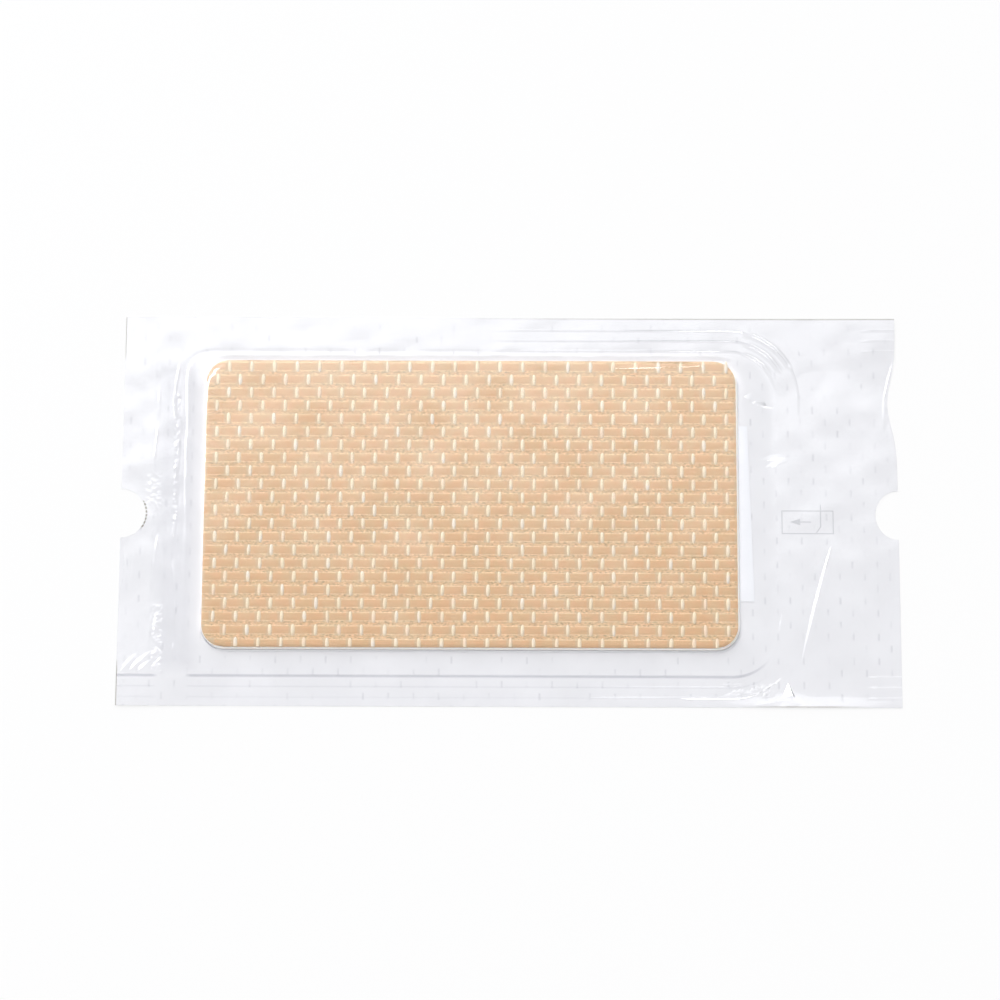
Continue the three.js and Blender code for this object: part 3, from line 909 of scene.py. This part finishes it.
def make_silicone():
    """The silicone sheet, its edge softly rounded."""
    low, high = SHEET_LOW[2], SHEET_HIGH[2]
    profile = [(0.45, low), (0.12, low + 0.08), (0, low + 0.3)]
    profile += [(0, high - 0.4), (0.1, high - 0.13), (0.4, high)]
    rings = [[(px, py, z) for px, py in rounded_ring(RIM_LOW, RIM_HIGH, SHEET_CORNER, inset)]
             for inset, z in profile]
    count = len(rings[0])
    faces = []
    for ring in range(len(rings) - 1):
        for i in range(count):
            a, b = ring * count + i, ring * count + (i + 1) % count
            faces.append([a, b, b + count, a + count])
    last = (len(rings) - 1) * count
    faces.append(list(range(count - 1, -1, -1)))
    faces.append(list(range(last, last + count)))
    return add_mesh("silicone_sheet", [p for ring in rings for p in ring], faces, silicone_material())


def cloth_inset(y):
    """How far the cloth's rounded corners draw its ends in at that height."""
    middle, half = (CLOTH_LOW[1] + CLOTH_HIGH[1]) / 2, (CLOTH_HIGH[1] - CLOTH_LOW[1]) / 2
    past = np.maximum(np.abs(y - middle) - half + CLOTH_CORNER, 0)
    return CLOTH_CORNER - np.sqrt(np.maximum(CLOTH_CORNER**2 - past**2, 0))


def tape_centres():
    """The middle line of each tape, from the lowest up."""
    count = round((WEAVE_HIGH[1] - WEAVE_LOW[1]) / TAPE_PITCH)
    return WEAVE_MIDDLE + (np.arange(count) - (count - 1) / 2) * TAPE_PITCH


def stitch_phase(row):
    """The first stitch's place in a row: every second row is shifted by half a pitch."""
    return WEAVE_LOW[0] + STITCH_START - (STITCH_PITCH / 2 if row % 2 == 0 else 0)


TAPE_FLOOR = CLOTH_LOW[2] + 0.5


def tape_height(x, y):
    """The cloth's upper side: a smooth panel along each tape between fine threads, pinched at the
    stitches."""
    centres = tape_centres()
    row = np.clip(np.round((y - centres[0]) / TAPE_PITCH), 0, len(centres) - 1).astype(int)
    across = np.abs(y - centres[row])
    phase = np.array([stitch_phase(k) for k in range(len(centres))])[row]
    along = np.abs((x - phase + STITCH_PITCH / 2) % STITCH_PITCH - STITCH_PITCH / 2)
    panel = smooth_step((PANEL_HALF + 0.1 - across) / 0.25)
    crown = 0.04 * np.cos(np.clip(across / PANEL_HALF, 0, 1) * math.pi / 2)
    pinch = 0.1 * np.exp(-((along / 0.9) ** 2))
    halfway = 0.45 + 0.55 * smooth_step((STITCH_PITCH / 2 - 0.4 - along) / 0.6)
    broken = smooth_step((along - 0.7) / 0.5) * halfway
    line = np.exp(-(((across - PANEL_HALF - 0.12) / 0.14) ** 2)) * broken
    thread = np.exp(-(((across - 1.85) / 0.2) ** 2))
    left, right, low, high = CLOTH_LOW[0], CLOTH_HIGH[0], CLOTH_LOW[1], CLOTH_HIGH[1]
    edge = -outside(x, y, left, right, low, high, CLOTH_CORNER, CLOTH_CORNER)
    drop = 0.22 * (1 - smooth_step(edge / 0.7))
    return TAPE_FLOOR + 0.12 + panel * (0.09 + crown - pinch) + 0.09 * line + 0.05 * thread - drop


def make_tapes():
    """The woven cloth's tapes as one closed sheet."""
    half = [0.2, 0.45, 0.7, 0.85, 1.0, 1.2, 1.75]
    offsets = np.array([0.0, *half, TAPE_PITCH / 2, *[TAPE_PITCH - h for h in reversed(half)]])
    low, high = CLOTH_LOW[1], CLOTH_HIGH[1]
    first = tape_centres()[0] - TAPE_PITCH / 2
    every = np.concatenate([first + k * TAPE_PITCH + offsets for k in range(len(tape_centres()) + 1)])
    y_lines = np.concatenate([[low], every[(every > low + 0.05) & (every < high - 0.05)], [high]])
    left, right = CLOTH_LOW[0], CLOTH_HIGH[0]
    halves = np.arange(stitch_phase(1) - STITCH_PITCH, right + STITCH_PITCH, STITCH_PITCH / 2)
    columns = np.add.outer(halves, [-0.85, -0.3, 0.3, 0.85, 1.9]).ravel()
    x_lines = np.concatenate([[left], columns[(columns > left + 0.15) & (columns < right - 0.15)], [right]])
    x, y = np.meshgrid(x_lines, y_lines)
    zone = 9.0
    pressed = np.clip((left + zone - x) / zone, 0, 1) - np.clip((x - right + zone) / zone, 0, 1)
    x = x + pressed * cloth_inset(y)
    top = tape_height(x, y)
    rows, columns = x.shape
    rim = grid_rim(rows, columns)
    over = np.stack([x, y, top], -1).reshape(-1, 3)
    under = over[rim].copy()
    under[:, 2] = CLOTH_LOW[2]
    count = len(over)
    ring = np.arange(len(rim)) + count
    sides = np.stack([ring, np.roll(ring, -1), np.roll(rim, -1), rim], 1).tolist()
    faces = grid_faces(rows, columns) + sides + [ring[::-1].tolist()]
    return add_mesh("woven_tapes", np.concatenate([over, under]), faces, cloth_material())


def spindle_faces(first, rings, count):
    """The faces of a half spindle: its round upper side, its flat underside and its two ends."""
    faces = []
    for i in range(rings - 1):
        start = first + i * count
        for k in range(start, start + count - 1):
            faces.append([k, k + count, k + count + 1, k + 1])
        end = start + count - 1
        faces.append([start, end, end + count, start + count])
    last = first + (rings - 1) * count
    faces.append(list(range(first, first + count)))
    faces.append(list(range(last + count - 1, last - 1, -1)))
    return faces


def make_stitches():
    """The cream stitches that hold the tapes down: low spindles whose ends dip between the tapes."""
    rng = np.random.default_rng(5)
    along = np.linspace(-1, 1, 9)
    turn = np.radians(np.linspace(0, 180, 7))
    points, faces = [], []
    left, right = CLOTH_LOW[0], CLOTH_HIGH[0]
    for row, centre in enumerate(tape_centres()):
        for at in np.arange(stitch_phase(row), right + STITCH_WIDTH / 2, STITCH_PITCH):
            inset = float(cloth_inset(np.array(centre)))
            if not left + inset + 0.8 < at < right - inset - 0.9:
                continue
            first = len(points)
            wide = STITCH_WIDTH / 2 * rng.uniform(0.88, 1.1)
            long = STITCH_LENGTH / 2 * rng.uniform(0.94, 1.05)
            lean = rng.normal(0, 0.05)
            off = rng.normal(0, 0.06)
            for s in along:
                girth = max((1 - s * s) ** 0.5, 0.06)
                y = centre + s * long
                y = min(max(y, CLOTH_LOW[1] + 0.05), CLOTH_HIGH[1] - 0.05)
                rise = TAPE_FLOOR + TAPE_RISE - STITCH_SINK - 0.1 * s * s
                for a in turn:
                    px = at + off + lean * s + wide * girth * math.cos(a)
                    px = min(px, right - 0.02)
                    points.append((px, y, rise + (STITCH_RISE + STITCH_SINK) * girth * math.sin(a)))
            faces += spindle_faces(first, len(along), len(turn))
    return add_mesh("stitches", points, faces, stitch_material())


# Stage

def make_floor():
    """A white floor that keeps the pouch's faint shadow."""
    mesh = bpy.data.meshes.new("floor")
    reach, level = 3.0, -0.00005
    corners = [(-1, -1), (1, -1), (1, 1), (-1, 1)]
    mesh.from_pydata([(x * reach, y * reach, level) for x, y in corners], [], [(0, 1, 2, 3)])
    made, tree = new_material("floor")
    path = node(tree, "LightPath")
    seen = maths(tree, "MAXIMUM", path.outputs["Is Camera Ray"], path.outputs["Is Glossy Ray"])
    seen = maths(tree, "MAXIMUM", seen, path.outputs["Is Transmission Ray"])
    matt = node(tree, "BsdfDiffuse", Color=(0.9, 0.9, 0.9, 1)).outputs[0]
    white = node(tree, "Emission", Color=(1, 1, 1, 1), Strength=1.0).outputs[0]
    share = maths(tree, "MULTIPLY", seen, 0.82)
    output(tree, node(tree, "MixShader", _0=share, _1=matt, _2=white).outputs[0])
    mesh.materials.append(made)
    floor = bpy.data.objects.new("floor", mesh)
    bpy.context.scene.collection.objects.link(floor)


def softbox(name, at, size, strength):
    """An oblong area lamp that faces the pouch."""
    data = bpy.data.lights.new(name, "AREA")
    data.shape = "RECTANGLE"
    data.size, data.size_y = size
    data.energy = strength
    lamp = bpy.data.objects.new(name, data)
    lamp.location = at
    lamp.rotation_euler = (-Vector(at)).to_track_quat("-Z", "Y").to_euler()
    bpy.context.scene.collection.objects.link(lamp)
    return lamp


def lit_span(tree, value, first_edge, second_edge):
    """1 between two soft edges, each given as its dark and its bright end."""
    first = graded(tree, value, *first_edge, kind="SMOOTHSTEP")
    second = graded(tree, value, *second_edge, kind="SMOOTHSTEP")
    return maths(tree, "MULTIPLY", first, second)


def make_sky():
    """Even light all round, and a wide soft panel high up behind the pouch that its film mirrors."""
    world = bpy.data.worlds.new("studio")
    bpy.context.scene.world = world
    world.use_nodes = True
    tree = world.node_tree
    tree.nodes.clear()
    way = node(tree, "SeparateXYZ", _0=node(tree, "TexCoord").outputs["Generated"])
    upright = lit_span(tree, way.outputs["Y"], (0.19, 0.265), (1.0, 0.92))
    level = lit_span(tree, way.outputs["X"], (-0.8, -0.35), (0.55, -0.35))
    panel = maths(tree, "MULTIPLY", upright, level)
    lit = maths(tree, "MULTIPLY_ADD", panel, 3.6, 0.3)
    seen = node(tree, "LightPath").outputs["Is Camera Ray"]
    strength = node(tree, "Mix", {"data_type": "FLOAT"}, _0=seen, _2=lit, _3=1.0).outputs[0]
    back = node(tree, "Background", Color=(0.98, 0.985, 1.0, 1), Strength=strength)
    node(tree, "OutputWorld", Surface=back.outputs[0])


def make_lights():
    """A soft key lamp high on the left, and a low strip in front that only the gloss shows."""
    softbox("key", (-0.72, 0.64, 1.64), (0.5, 0.12), 9.5)
    strip = softbox("strip", (-0.3, -1.25, 0.52), (2.2, 0.3), 24.0)
    strip.visible_diffuse = False


def make_camera():
    """The camera at the photograph's viewing angle."""
    back = Vector((math.sin(math.radians(CAMERA_SIDE)), -math.sin(math.radians(CAMERA_TILT)), 0))
    back.z = math.sqrt(1 - back.length_squared)
    right = Vector((0, 1, 0)).cross(back).normalized()
    up = back.cross(right)
    turn = Matrix((right, up, back)).transposed().to_4x4()
    spin = Matrix.Rotation(math.radians(CAMERA_SPIN), 4, "Z")
    data = bpy.data.cameras.new("camera")
    data.sensor_width = SENSOR
    data.lens = CAMERA_LENS
    data.clip_end = 20
    camera = bpy.data.objects.new("camera", data)
    at = (Vector(CAMERA_AIM) + back * CAMERA_DISTANCE) * MM
    camera.matrix_world = Matrix.Translation(at) @ turn @ spin
    bpy.context.scene.collection.objects.link(camera)
    bpy.context.scene.camera = camera


make_camera()
make_floor()
make_sky()
make_lights()

paper = make_paper()
film = make_film()
silicone = make_silicone()
tapes = make_tapes()
stitches = make_stitches()

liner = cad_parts["release_liner"]
liner.data.materials.clear()
liner.data.materials.append(liner_material())

for piece in (paper, film, silicone, tapes, stitches):
    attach(piece, "root")
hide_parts("pouch_paper")
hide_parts("pouch_film")
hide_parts("silicone_layer")
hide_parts("woven_backing")

bpy.context.scene.view_settings.view_transform = "Standard"
